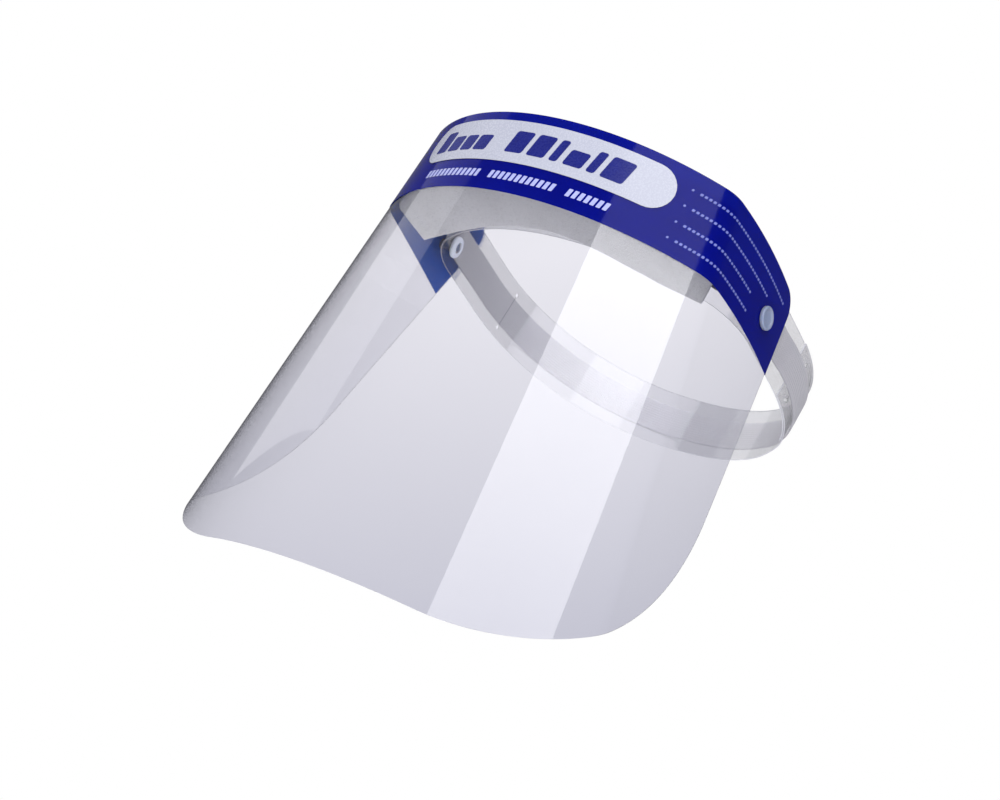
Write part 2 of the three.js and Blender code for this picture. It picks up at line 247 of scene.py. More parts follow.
def sheet_bottom(u):
    return SHEET_HEIGHT - corner_pull(u, BOTTOM_CORNER)


def mirrored(half):
    """Values from 0 up, with their negatives before them."""
    return np.concatenate([-half[:0:-1], half])


def sheet_stations():
    """The grid's columns, closer together in the tight bends and the round corners."""
    rounded = HALF - TOP_CORNER
    corner = rounded + TOP_CORNER * np.sin(np.linspace(0, QUARTER, 15))
    return mirrored(
        np.concatenate(
            [
                np.linspace(0, FRONT_END, 64)[:-1],
                np.linspace(FRONT_END, BEND_END, 28)[:-1],
                np.linspace(BEND_END, rounded, 36)[:-1],
                corner,
            ]
        )
    )


def column_at(station, v):
    """Columns follow the cone's lines as far as the bend, then spread to the side edge."""
    end = BEND_END * stretch(v)
    past = (np.abs(station) - BEND_END) / (HALF - BEND_END)
    spread = np.sign(station) * (end + (HALF - end) * past)
    return np.where(past <= 0, station * stretch(v), spread)


def sheet_grid(depth_at, rows):
    """u and v over the sheet, for rows whose depth at u is depth_at(u, share)."""
    station, share = np.meshgrid(sheet_stations(), np.linspace(0, 1, rows))
    v = np.zeros_like(station)
    # Each depends on the other, so they are worked out in turn until they settle.
    for _ in range(6):
        u = column_at(station, v)
        v = depth_at(u, share)
    return u, v


def sheet_panel(u, v, out, thickness):
    """A layer over these u and v, between two distances from the visor's surface."""
    uv = np.stack([u, v], -1)
    return visor_points(u, v, out + thickness), visor_points(u, v, out), uv


def film_depth(u, share):
    return sheet_top(u) + (sheet_bottom(u) - sheet_top(u)) * share


def header_depth(u, share):
    return sheet_top(u) + (HEADER_HEIGHT - sheet_top(u)) * share


def rounded_panel(u_range, v_range, corner, out, thickness, slant=0.0):
    """A printed patch with round corners, between two values of u and two of v."""
    half = (u_range[1] - u_range[0]) / 2
    middle = (u_range[1] + u_range[0]) / 2
    straight = np.linspace(0, half - corner, max(3, int(half / 2)))[:-1]
    rounded = half - corner + corner * np.sin(np.linspace(0, QUARTER * 0.97, 8))
    along = mirrored(np.concatenate([straight, rounded]))
    past = np.maximum(0, np.abs(along) - (half - corner))
    pull = corner - np.sqrt(corner * corner - past * past)
    top, bottom = v_range[0] + pull, v_range[1] - pull
    share = np.linspace(0, 1, 7)[:, None]
    v = top + (bottom - top) * share
    u = middle + along + 0 * v
    u = u + slant * ((v_range[0] + v_range[1]) / 2 - v)
    return sheet_panel(u, v, out, thickness)


# ---- the head band's path ----

FINE_STEPS = 4000  # samples of the path, from which lengths and stations are read


def half_band(t, out):
    """One side of the band's outline, for stations 0 at the front to 4 at the rear."""
    across = BAND_HALF - CORNER_RADIUS
    rise = SIDE_Y - FRONT_Y - CORNER_RADIUS
    turn = 2 * math.atan2(rise, across)
    centres = across / math.sin(turn)
    wide = centres + CORNER_RADIUS + out
    angle = turn * t
    front = (wide * np.sin(angle), FRONT_Y + centres + CORNER_RADIUS - wide * np.cos(angle))
    angle = turn + (QUARTER - turn) * (t - 1)
    reach = CORNER_RADIUS + out
    corner = (
        centres * math.sin(turn) + reach * np.sin(angle),
        SIDE_Y - reach * np.cos(angle),
    )
    side = (BAND_HALF + out, SIDE_Y + (REAR_START_Y - SIDE_Y) * (t - 2))
    angle = np.clip((t - 3) * QUARTER, 0, QUARTER)
    power = 2 / REAR_EXPONENT
    rear = (
        (BAND_HALF + out) * np.maximum(0, np.cos(angle)) ** power,
        REAR_START_Y + (REAR_Y - REAR_START_Y + out) * np.sin(angle) ** power,
    )
    stretches = [t <= 1, t <= 2, t <= 3]
    parts = zip(front, corner, side, rear)
    return [np.select(stretches, [a + 0 * t, b + 0 * t, c + 0 * t], d) for a, b, c, d in parts]


def band_points(t, out, z):
    """Points of the band's outline in the part's frame, moved outwards by out."""
    turned = np.mod(t, ROUND)
    on_left = turned <= ROUND / 2
    side = np.where(on_left, 1, -1)
    x, y = half_band(np.where(on_left, turned, ROUND - turned), out)
    return np.stack(np.broadcast_arrays(side * x, y, z), -1)


def station_at(y):
    """The station with this y behind the front arc, on the wearer's left."""
    fine = np.linspace(1, 4, FINE_STEPS)
    return float(np.interp(y, half_band(fine, 0 * fine)[1], fine))


SEAM = station_at(SEAM_Y)
INNER_END = station_at(INNER_END_Y)
RAMP_END = station_at(RAMP_END_Y)


def smoothstep(x, low, high):
    """0 below low, 1 above high, and a smooth rise between them."""
    share = np.clip((x - low) / (high - low), 0, 1)
    return share * share * (3 - 2 * share)


def even_stations(start, end, count):
    """Stations at equal distances along the band, and the length that they cover."""
    fine = np.linspace(start, end, FINE_STEPS)
    path = band_points(fine, 0 * fine, 0)
    along = np.concatenate([[0], np.cumsum(np.linalg.norm(np.diff(path, axis=0), axis=1))])
    return np.interp(np.linspace(0, along[-1], count), along, fine), along[-1]


# ---- holes ----


def hole_cutter(side):
    """A bar along X through one rivet's holes, which never shows."""
    form = bmesh.new()
    radius = HOLE_RADIUS * MM
    bmesh.ops.create_cone(
        form,
        segments=48,
        radius1=radius,
        radius2=radius,
        depth=CUTTER_LENGTH * MM,
        cap_ends=True,
    )
    form.transform(Matrix.Rotation(QUARTER, 4, "Y"))
    form.transform(Matrix.Translation(Vector((side * BAND_HALF, PIVOT_Y, PIVOT_Z)) * MM))
    mesh = bpy.data.meshes.new(f"rivet_hole_{side}")
    form.to_mesh(mesh)
    form.free()
    return mesh


def cut_away(mesh, cutters):
    """A new mesh: this one with the cutters' shapes taken out of it."""
    scene = bpy.context.scene
    work = bpy.data.objects.new(mesh.name, mesh)
    scene.collection.objects.link(work)
    holders = []
    for cutter in cutters:
        holder = bpy.data.objects.new(cutter.name, cutter)
        scene.collection.objects.link(holder)
        holders.append(holder)
        cut = work.modifiers.new(cutter.name, "BOOLEAN")
        cut.operation = "DIFFERENCE"
        cut.solver = "MANIFOLD"
        cut.object = holder
    view = bpy.context.evaluated_depsgraph_get()
    result = bpy.data.meshes.new_from_object(work.evaluated_get(view), depsgraph=view)
    for used in [work, *holders]:
        bpy.data.objects.remove(used)
    return result


def rivet_holes():
    return [hole_cutter(side) for side in SIDES]


# ---- pieces of the visor ----


def build_film(plastic, edge):
    u, v = sheet_grid(film_depth, FILM_ROWS)
    panel = sheet_panel(u, v, -SHEET_THICKNESS, SHEET_THICKNESS)
    mesh = cut_away(skin_mesh("clear_visor", [panel], rim_look=1), rivet_holes())
    make_piece("clear_visor", mesh, "visor", [plastic, edge], ["visor_film"])


def build_header(ink, painted_backlight_ink):
    u, v = sheet_grid(header_depth, HEADER_ROWS)
    panel = sheet_panel(u, v, PRINT_GAP, PRINT_THICKNESS)
    mesh = cut_away(skin_mesh("blue_header", [panel], inner_look=1), rivet_holes())
    # The inner face takes the lighter blue. It is painted light that stands in for light coming
    # through the ink from behind.
    looks = [ink, painted_backlight_ink]
    make_piece("blue_header", mesh, "visor", looks, ["header_print"])


def build_label(material):
    across, down = (-LABEL_HALF, LABEL_HALF), (LABEL_TOP, LABEL_BOTTOM)
    corner = (LABEL_BOTTOM - LABEL_TOP) / 2
    panel = rounded_panel(across, down, corner, LABEL_BASE, LABEL_THICKNESS)
    mesh = skin_mesh("label_panel", [panel])
    make_piece("label_panel", mesh, "visor", [material], ["header_label"])


# Plain bars stand where the real header has words: (start, width, is it tall).
TITLE_BARS = (
    (-59, 8, True), (-49.5, 8, False), (-40, 7.5, False), (-31, 8, False),
    (-11, 9.5, True), (1, 9, True), (12.5, 4, True), (19, 9, False),
    (30.5, 4, True), (37, 10.5, True),
)
SUBTITLE_WORDS = ((-56, 37), (-13, 35), (27, 20))
TITLE_TALL_TOP, TITLE_LOW_TOP, TITLE_BOTTOM, TITLE_CORNER = 9.6, 12.8, 20.6, 1.2
SUBTITLE_DEPTHS = (30.4, 34.2)
BULLETS = ((8.5, 153), (16.6, 138), (24.9, 125), (32.9, 127))  # depth, end of the line
BULLET_START, BULLET_TEXT_START = 73, 77
ITALIC = 0.22


def build_title(material):
    base = LABEL_BASE + LABEL_THICKNESS
    panels = []
    for start, width, tall in TITLE_BARS:
        across = (start, start + width)
        down = (TITLE_TALL_TOP if tall else TITLE_LOW_TOP, TITLE_BOTTOM)
        panels.append(rounded_panel(across, down, TITLE_CORNER, base, MARK_THICKNESS, ITALIC))
    make_piece("title_bars", skin_mesh("title_bars", panels), "visor", [material])


def word_panels(start, end, v_range, letter, gap):
    """Short bars in a row, as small print looks from a distance."""
    panels = []
    base = PRINT_GAP + PRINT_THICKNESS
    corner = 0.3
    at = start
    while at + letter <= end:
        across = (at, at + letter)
        panels.append(rounded_panel(across, v_range, corner, base, MARK_THICKNESS, ITALIC))
        at += letter + gap
    return panels


def build_subtitle(material):
    panels = []
    for start, width in SUBTITLE_WORDS:
        panels += word_panels(start, start + width, SUBTITLE_DEPTHS, letter=1.9, gap=1.0)
    make_piece("subtitle", skin_mesh("subtitle", panels), "visor", [material])


def build_bullets(material):
    panels = []
    for depth, end in BULLETS:
        dot = (depth - 0.5, depth + 0.5)
        text = (depth - 0.6, depth + 0.6)
        panels += word_panels(BULLET_START, BULLET_START + 1, dot, letter=1.0, gap=1.0)
        panels += word_panels(BULLET_TEXT_START, end, text, letter=1.3, gap=0.8)
    make_piece("bullets", skin_mesh("bullets", panels), "visor", [material])


# ---- the foam pad ----


def box_shell(counts):
    """A box from 0 to 1 with this many faces each way, as points and faces."""
    form = bmesh.new()
    for axis in range(3):
        a, b = [i for i in range(3) if i != axis]
        for level in (0, 1):
            rows, cols = counts[a] + 1, counts[b] + 1
            points = np.zeros((rows, cols, 3))
            points[..., axis] = level
            points[..., a] = np.linspace(0, 1, rows)[:, None]
            points[..., b] = np.linspace(0, 1, cols)[None, :]
            made = [form.verts.new(p) for p in points.reshape(-1, 3)]
            for quad in grid_faces(rows, cols):
                form.faces.new([made[i] for i in quad])
    bmesh.ops.remove_doubles(form, verts=form.verts, dist=1e-6)
    bmesh.ops.recalc_face_normals(form, faces=form.faces)
    return form


def pad_inner(t):
    """The pad's inner face over band stations t, in the visor's frame."""
    path = band_points(t, BAND_THICKNESS / 2, 0)
    ahead = PIVOT_Y - path[..., 1]
    above = BAND_HEIGHT / 2 - PIVOT_Z
    return path[..., 0], PIVOT_V_Y - (np.hypot(ahead, above) + PAD_CLEARANCE)


def pad_points(share):
    """Where shares along, down and through the pad lie, in the part's frame."""
    station = (2 * share[:, 0] - 1) * PAD_END
    v = PAD_TOP + (PAD_BOTTOM - PAD_TOP) * share[:, 1]
    outer = visor_points(column_at(station, v), v, -PAD_OUTER)
    x, y = pad_inner(PAD_INNER_END * station / PAD_END)
    drop = PAD_SIDE_DROP * smoothstep(np.abs(station), 0, PAD_DROP_OVER)
    inner = into_row(np.stack([x, y, -v - drop * share[:, 1]], -1))
    return outer + (inner - outer) * share[:, 2:3]


def crowned_pad(share):
    """Shares of the pad with its edges rounded and its inner face pulled in at its borders."""
    size = np.array([2 * PAD_END, PAD_BOTTOM - PAD_TOP, PAD_DEPTH])
    flat = share * size
    core = np.clip(flat, PAD_EDGE_RADIUS, size - PAD_EDGE_RADIUS)
    away = flat - core
    length = np.linalg.norm(away, axis=1, keepdims=True)
    rounded = core + away / np.maximum(length, 1e-9) * np.minimum(length, PAD_EDGE_RADIUS)
    share = rounded / size
    across = (2 * share[:, 1] - 1) ** 4
    along = (2 * share[:, 0] - 1) ** 8
    share[:, 2] *= 1 - PAD_CROWN_ACROSS * across - PAD_CROWN_ALONG * along
    return share


def cut_foam_swell(place):
    """How uneven a cut face of the foam is at this place, in mm."""
    return noise.noise(place * 90) * 0.22 + noise.noise(place * 900) * 0.07 - 0.2


def build_pad(material):
    form = box_shell(PAD_FACES)
    share = np.array([v.co for v in form.verts])
    points = pad_points(crowned_pad(share)) * MM
    for vert, point in zip(form.verts, points):
        vert.co = point
    form.normal_update()
    for vert in form.verts:
        vert.co += vert.normal * cut_foam_swell(vert.co) * MM
    for face in form.faces:
        face.smooth = True
    mesh = bpy.data.meshes.new("brow_pad")
    form.to_mesh(mesh)
    form.free()
    pad = make_piece("brow_pad", mesh, "visor", [material], ["foam_pad"])


# ---- pieces of the head band ----


def slit_cutter(side):
    """A narrow slot with a round hole at each end, along Z, through the band."""
    form = bmesh.new()
    mouth = math.asin(SLIT_WIDTH / 2 / SLIT_HOLE)
    outline = []
    for end in (1, -1):
        first = -QUARTER + mouth if end > 0 else QUARTER + mouth
        for angle in np.linspace(first, first + 2 * math.pi - 2 * mouth, 20):
            y = SLIT_HOLE * math.cos(angle)
            z = end * SLIT_HALF + SLIT_HOLE * math.sin(angle)
            outline.append((0, (SLIT_Y + y) * MM, z * MM))
    face = form.faces.new([form.verts.new(p) for p in outline])
    made = bmesh.ops.extrude_face_region(form, geom=[face])
    verts = [g for g in made["geom"] if isinstance(g, bmesh.types.BMVert)]
    bmesh.ops.translate(form, verts=verts, vec=(side * 2 * BAND_HALF * MM, 0, 0))
    bmesh.ops.recalc_face_normals(form, faces=form.faces)
    mesh = bpy.data.meshes.new(f"slit_{side}")
    form.to_mesh(mesh)
    form.free()
    return mesh


def rows_down(height, count):
    """Heights from a strip's top edge to its bottom edge, as a column."""
    return np.linspace(height / 2, -height / 2, count)[:, None]


def ring_panel(stations, length, z, outer_out, inner_out):
    """A strip round the band's outline, between two distances from it."""
    outer = band_points(stations + 0 * z, outer_out + 0 * z, z)
    inner = band_points(stations + 0 * z, inner_out + 0 * z, z)
    along = np.linspace(0, length, len(stations))
    return outer, inner, np.stack(np.broadcast_arrays(along, z), -1)


def build_band(plastic, edge):
    stations, length = even_stations(SEAM, INNER_END + ROUND, BAND_COLUMNS)
    z = rows_down(BAND_HEIGHT, BAND_ROWS)
    lift = LAP_LIFT * (1 - smoothstep(stations, INNER_END, RAMP_END))
    half = BAND_THICKNESS / 2
    panel = ring_panel(stations, length, z, lift + half, lift - half)
    whole = skin_mesh("clear_band", [panel], rim_look=1)
    mesh = cut_away(whole, rivet_holes() + [slit_cutter(side) for side in SIDES])
    make_piece("clear_band", mesh, "headband", [plastic, edge], ["head_band"])


def rib_height(z):
    """How far the elastic's lengthwise ribs stand below its full thickness."""
    edge = STRAP_HEIGHT / 2 - np.abs(z)
    inner = STRAP_HEIGHT - 2 * SELVEDGE
    wave = 0.5 - 0.5 * np.cos(2 * math.pi * RIBS * (z + inner / 2) / inner)
    rib = RIB_DEPTH * (1 - np.abs(wave) ** 0.6)
    rounding = STRAP_EDGE_DROP * np.clip(1 - edge / STRAP_EDGE, 0, 1) ** 2
    return np.where(edge > SELVEDGE, rib, SELVEDGE_DROP + rounding)


def build_elastic(outside, inside):
    start = station_at(STRAP_END_Y)
    stations, length = even_stations(start, ROUND - start, STRAP_COLUMNS)
    z = rows_down(STRAP_HEIGHT, STRAP_ROWS)
    up = smoothstep(stations, station_at(STRAP_RISE_Y), SEAM)
    down = smoothstep(stations, RAMP_END, station_at(STRAP_FALL_Y))
    base = BAND_THICKNESS / 2 + GAP + LAP_LIFT * up * (1 - down)
    inner_out = base + 0.5 * rib_height(z)
    outer_out = base + STRAP_THICKNESS - rib_height(z)
    panel = ring_panel(stations, length, z, outer_out, inner_out)
    # The inner face takes the second material, whose lighter colour is painted light for the
    # light it lacks behind the band.
    mesh = cut_away(skin_mesh("woven_elastic", [panel], inner_look=1), rivet_holes())
    elastic = make_piece(
        "woven_elastic", mesh, "headband", [outside, inside], ["elastic_strap"]
    )


# ---- rivets ----


def lathed_mesh(name, profile, place, direction):
    """A closed outline of (radius, height) turned about a line, in mm."""
    form = bmesh.new()
    sides = 64
    angles = np.linspace(0, 2 * math.pi, sides, endpoint=False)
    rings = []
    for radius, height in profile:
        turns = [0] if radius == 0 else angles
        ring = [(radius * math.cos(a), radius * math.sin(a), height) for a in turns]
        rings.append([form.verts.new(point) for point in ring])
    for low, high in zip(rings, rings[1:]):
        for i in range(sides):
            j = (i + 1) % sides
            lower = [low[i % len(low)], low[j % len(low)]]
            upper = [high[j % len(high)], high[i % len(high)]]
            form.faces.new(list(dict.fromkeys(lower + upper)))
    bmesh.ops.remove_doubles(form, verts=form.verts, dist=1e-6)
    bmesh.ops.recalc_face_normals(form, faces=form.faces)
    turn = Vector(direction).to_track_quat("Z", "Y").to_matrix().to_4x4()
    form.transform(Matrix.Translation(Vector(place)) @ turn)
    form.transform(Matrix.Scale(MM, 4))
    for face in form.faces:
        face.smooth = True
    mesh = bpy.data.meshes.new(name)
    form.to_mesh(mesh)
    form.free()
    return mesh


def arc(centre, radius, first, last, count=8):
    """Points of a circular arc in an outline, by its angles in degrees."""
    angles = np.radians(np.linspace(first, last, count))
    return [(centre[0] + radius * math.cos(a), centre[1] + radius * math.sin(a)) for a in angles]


def sheet_at_pivot():
    """The sheet's place and outward normal where the pivot's line crosses it."""
    u, v = PIVOT_V_Y, -PIVOT_V_Z
    # Each round moves u and v by what is still missing along Y and Z.
    for _ in range(60):
        point = visor_points(np.array(float(u)), np.array(float(v)))
        u += PIVOT_Y - point[1]
        v += point[2] - PIVOT_Z
    here, along, down = (
        visor_points(np.array(u + du), np.array(v + dv)) for du, dv in ((0, 0), (1, 0), (0, 1))
    )
    normal = np.cross(down - here, along - here)
    return here, normal / np.linalg.norm(normal)


def side_word(side):
    return "left" if side > 0 else "right"


def cap_outline():
    """A flat underside, a bulging rim and a shallow dish."""
    foot = [(0, 0), (CAP_RADIUS - 0.3, 0), (CAP_RADIUS - 0.05, 0.25)]
    return [*foot, *arc((CAP_RADIUS - CAP_EDGE, CAP_HEIGHT), CAP_EDGE, -20, 165, 12), *CAP_DISH]


def shank_outline(reach):
    tip = arc((SHANK_RADIUS - SHANK_EDGE, reach - SHANK_EDGE), SHANK_EDGE, 0, 90)
    return [(0, 0), (SHANK_RADIUS, 0), *tip, (0, reach)]


def socket_outline():
    """A collar with a round edge and a lip round its bore."""
    dome = arc((SOCKET_RADIUS - SOCKET_EDGE, SOCKET_EDGE), SOCKET_EDGE, 0, 90)
    lip = arc((SOCKET_BORE + LIP_EDGE, LIP_HEIGHT), LIP_EDGE, 45, 180)
    return [(SOCKET_BORE, 0), (SOCKET_RADIUS, 0), *dome, *lip, (SOCKET_BORE, 0)]


def build_rivet(side, name, material):
    """A cap that stands on the sheet, and a shank along the pivot's line."""
    place, normal = sheet_at_pivot()
    place = place + normal * (PRINT_GAP + PRINT_THICKNESS + CAP_GAP)
    mirror = np.array([side, 1, 1])
    mesh = lathed_mesh(name, cap_outline(), place * mirror, normal * mirror)
    make_piece(name, mesh, "visor", [material], [f"rivet_{side_word(side)}"])
    root = place[0] + SHANK_ROOT
    outline = shank_outline(root - (BAND_HALF - SOCKET_DEPTH))
    start = np.array([root, PIVOT_Y, PIVOT_Z])
    mesh = lathed_mesh(f"{name}_shank", outline, start * mirror, (-side, 0, 0))
    make_piece(f"{name}_shank", mesh, "visor", [material])


def build_socket(side, name, material):
    t = station_at(PIVOT_Y)
    around = np.array([t, t - 0.02, t + 0.02])
    path = band_points(around, -(BAND_THICKNESS / 2 + SOCKET_STANDOFF), PIVOT_Z)
    tangent = path[2] - path[1]
    inwards = np.array([-tangent[1], tangent[0], 0.0])
    inwards /= np.linalg.norm(inwards)
    mirror = np.array([side, 1, 1])
    mesh = lathed_mesh(name, socket_outline(), path[0] * mirror, inwards * mirror)
    node = f"rivet_socket_{side_word(side)}"
    make_piece(name, mesh, "headband", [material], [node])


# ---- materials ----


MIX_FIRST, MIX_SECOND, MIX_RESULT = 6, 7, 2  # the colour sockets of a Mix node


def feed(tree, socket, value):
    """Link a socket to another one, or give it a value."""
    if isinstance(value, bpy.types.NodeSocket):
        tree.links.new(value, socket)
    else:
        socket.default_value = value


def mix_colours(tree, factor, first, second, blend="MIX"):
    """Mix two colours. Each is three numbers or the output of a node."""
    node = tree.nodes.new("ShaderNodeMix")
    node.data_type = "RGBA"
    node.blend_type = blend
    feed(tree, node.inputs["Factor"], factor)
    for place, colour in ((MIX_FIRST, first), (MIX_SECOND, second)):
        value = (*colour, 1) if isinstance(colour, tuple) else colour
        feed(tree, node.inputs[place], value)
    return node.outputs[MIX_RESULT]


class Nodes:
    """A material's node tree, with its Principled shader."""

    def __init__(self, name, **sockets):
        self.material = bpy.data.materials.new(name)
        self.material.use_nodes = True
        self.tree = self.material.node_tree
        self.shader = next(n for n in self.tree.nodes if n.type == "BSDF_PRINCIPLED")
        for socket, value in sockets.items():
            self.shader.inputs[socket.replace("_", " ")].default_value = value

    def add(self, kind, settings=None, **inputs):
        """A new node. An input's name has underscores where its socket's has spaces."""
        node = self.tree.nodes.new(kind)
        for key, value in (settings or {}).items():
            setattr(node, key, value)
        for key, value in inputs.items():
            feed(self.tree, node.inputs[key.replace("_", " ")], value)
        return node

    def link(self, value, socket_name):
        self.tree.links.new(value, self.shader.inputs[socket_name])

    def object_place(self):
        return self.add("ShaderNodeTexCoord").outputs["Object"]

    def flat_place(self):
        return self.add("ShaderNodeUVMap", {"uv_map": "flat"}).outputs["UV"]

    def noise(self, place, scale, detail=2.0, roughness=0.5):
        node = self.add(
            "ShaderNodeTexNoise", Vector=place, Scale=scale, Detail=detail, Roughness=roughness
        )
        return node.outputs["Fac"]

    def ramp(self, value, low, high, low_at=0.0, high_at=1.0):
        node = self.add("ShaderNodeValToRGB", Fac=value)
        ends = node.color_ramp.elements
        ends[0].position, ends[0].color = low_at, (*low, 1)
        ends[1].position, ends[1].color = high_at, (*high, 1)
        return node.outputs["Color"]

    def remap(self, value, low, high, to_low, to_high):
        node = self.add(
            "ShaderNodeMapRange",
            Value=value,
            From_Min=low,
            From_Max=high,
            To_Min=to_low,
            To_Max=to_high,
        )
        return node.outputs["Result"]

    def bump(self, height, strength, distance):
        node = self.add("ShaderNodeBump", Height=height, Strength=strength, Distance=distance)
        self.link(node.outputs["Normal"], "Normal")

    def multiply(self, first, second):
        return mix_colours(self.tree, 1, first, second, "MULTIPLY")


def grey(value):
    return (value, value, value)


def clear_plastic(name, tint, roughness, alpha):
    """PET film: clear, glossy, with a faint roll texture and a few handling marks."""
    nodes = Nodes(name, IOR=1.57, Transmission_Weight=1.0, Alpha=alpha)
    place = nodes.object_place()
    haze = nodes.noise(place, 14, 3)
    tone = nodes.ramp(haze, [c * 0.985 for c in tint], tint, 0.3, 0.7)
    nodes.link(tone, "Base Color")
    marks = nodes.noise(place, 160, 4, 0.7)
    nodes.link(nodes.remap(marks, 0.55, 0.8, roughness, roughness + 0.05), "Roughness")
    nodes.bump(nodes.noise(place, 9, 1), 0.05, 0.0004)
    return nodes.material


def cut_edge():
    """The punched rim of the PET, which is frosted."""
    nodes = Nodes("cut_edge", IOR=1.4, Transmission_Weight=0.4)
    place = nodes.object_place()
    tone = nodes.ramp(nodes.noise(place, 500, 3), (0.42, 0.42, 0.48), (0.60, 0.60, 0.66))
    nodes.link(tone, "Base Color")
    nodes.link(nodes.remap(nodes.noise(place, 900, 2), 0, 1, 0.4, 0.6), "Roughness")
    return nodes.material


def header_ink():
    """Gloss navy ink. Where nothing is behind it, light comes through as a brighter blue, and
    the lighter blue painted on the layer's inner face adds to it.
    """
    nodes = Nodes("header_ink", IOR=1.25, Transmission_Weight=0.85)
    place = nodes.object_place()
    tone = nodes.ramp(nodes.noise(place, 60, 3), (0.002, 0.006, 0.17), (0.003, 0.008, 0.21))
    nodes.link(tone, "Base Color")
    grain = nodes.noise(place, 1400, 2)
    nodes.link(nodes.remap(grain, 0, 1, 0.05, 0.09), "Roughness")
    nodes.bump(grain, 0.03, 0.00005)
    return nodes.material


def header_ink_painted_backlight():
    """The ink layer's inner face, a lighter blue that is painted light standing in for light
    coming through the ink from behind. It shows through the film from inside.
    """
    nodes = Nodes("header_ink_painted_backlight", IOR=1.3, Transmission_Weight=0.1, Roughness=0.25)
    place = nodes.object_place()
    tone = nodes.ramp(nodes.noise(place, 60, 3), (0.025, 0.19, 0.97), (0.035, 0.22, 1.0))
    nodes.link(tone, "Base Color")
    return nodes.material


def label_ink():
    """The white panel's ink, a little less glossy than the blue."""
    nodes = Nodes("label_ink", IOR=1.45)
    place = nodes.object_place()
    tone = nodes.ramp(nodes.noise(place, 45, 3), (0.26, 0.27, 0.325), (0.29, 0.30, 0.355))
    nodes.link(tone, "Base Color")
    grain = nodes.noise(place, 1400, 2)
    nodes.link(nodes.remap(grain, 0, 1, 0.22, 0.32), "Roughness")
    nodes.bump(grain, 0.05, 0.00005)
    return nodes.material


def mark_ink(name, dark, light):
    """The ink of the bars that stand for print."""
    nodes = Nodes(name, IOR=1.3)
    place = nodes.object_place()
    nodes.link(nodes.ramp(nodes.noise(place, 300, 2), dark, light), "Base Color")
    nodes.link(nodes.remap(nodes.noise(place, 900, 2), 0, 1, 0.2, 0.35), "Roughness")
    return nodes.material


def foam_material():
    """Open-cell foam: a fine speckle of pores, darker where the bump sinks as painted shade,
    with broader shades of density.
    """
    nodes = Nodes("cut_foam", IOR=1.3, Sheen_Weight=0.1)
    place = nodes.object_place()
    both = nodes.add("ShaderNodeMath", {"operation": "ADD"})
    for socket, scale in zip(both.inputs, (1500.0, 700.0)):
        cells = nodes.add("ShaderNodeTexVoronoi", Vector=place, Scale=scale)
        feed(nodes.tree, socket, cells.outputs["Distance"])
    depth = both.outputs[0]
    # Painted shade: the pores' speckle darkens where the bump below sinks, on top of the foam's
    # own grain.
    speckle = nodes.ramp(depth, (0.45, 0.45, 0.47), (0.68, 0.68, 0.70), 0.2, 0.9)
    broad = nodes.ramp(nodes.noise(place, 35, 3), grey(0.9), grey(1.0), 0.3, 0.7)
    nodes.link(nodes.multiply(speckle, broad), "Base Color")
    nodes.link(nodes.remap(depth, 0, 1.5, 0.85, 1.0), "Roughness")
    nodes.bump(depth, 0.6, 0.0004)
    return nodes.material


def tape_material():
    """The tape's yellowish paper and glue."""
    nodes = Nodes("foam_tape", IOR=1.4)
    place = nodes.object_place()
    tone = nodes.ramp(nodes.noise(place, 80, 3), (0.62, 0.58, 0.48), (0.72, 0.69, 0.60))
    nodes.link(tone, "Base Color")
    nodes.link(nodes.remap(nodes.noise(place, 500, 2), 0, 1, 0.5, 0.7), "Roughness")
    return nodes.material


def elastic_material(name, dark, light):
    """Woven elastic: cross threads over its lengthwise ribs, with painted shade between the
    threads.
    """
    nodes = Nodes(name, Roughness=0.85, Sheen_Weight=0.25)
    place = nodes.flat_place()
    stretched = nodes.add("ShaderNodeMapping", Vector=place, Scale=(1.0, 0.35, 1.0))
    wave = nodes.add(
        "ShaderNodeTexWave",
        {"bands_direction": "X"},
        Vector=stretched.outputs["Vector"],
        Scale=0.42,
        Distortion=0.6,
        Detail_Scale=2.0,
    )
    threads = wave.outputs["Fac"]
    fibres = nodes.noise(place, 5.0, 4, 0.7)
    tone = nodes.ramp(fibres, dark, light, 0.3, 0.7)
    # Painted shade: the colour darkens where the threads' bump sinks, between the threads.
    shade = nodes.ramp(threads, grey(0.86), grey(1.0))
    nodes.link(nodes.multiply(tone, shade), "Base Color")
    nodes.link(nodes.remap(fibres, 0, 1, 0.75, 0.95), "Roughness")
    nodes.bump(threads, 0.5, 0.0003)
    return nodes.material


def nylon_material(name, dark, light):
    """Moulded nylon with a satin face."""
    nodes = Nodes(name, IOR=1.5, Subsurface_Weight=0.1)
    place = nodes.object_place()
    tone = nodes.ramp(nodes.noise(place, 220, 3), dark, light)
    nodes.link(tone, "Base Color")
    grain = nodes.noise(place, 1800, 2)
    nodes.link(nodes.remap(grain, 0, 1, 0.28, 0.42), "Roughness")
    nodes.bump(grain, 0.08, 0.0001)
    return nodes.material


# ---- the studio ----

AIM = Vector((-0.044, 0.001, -0.055))
CAMERA = Vector((0.590, -0.7883, -0.4449))
CAMERA_ROLL = -31.56
LENS = 84.3
FLOOR_HEIGHT, FLOOR_REACH = -1.6, 8


def build_camera():
    camera = bpy.data.objects.new("camera", bpy.data.cameras.new("camera"))
    camera.location = CAMERA
    forward = (AIM - CAMERA).normalized()
    level = forward.to_track_quat("-Z", "Y").to_matrix().to_4x4()
    roll = Matrix.Rotation(math.radians(CAMERA_ROLL), 4, forward)
    camera.rotation_mode = "QUATERNION"
    camera.rotation_quaternion = (roll @ level).to_quaternion()
    camera.data.lens = LENS
    camera.data.clip_start = 0.01
    bpy.context.scene.collection.objects.link(camera)
    bpy.context.scene.camera = camera


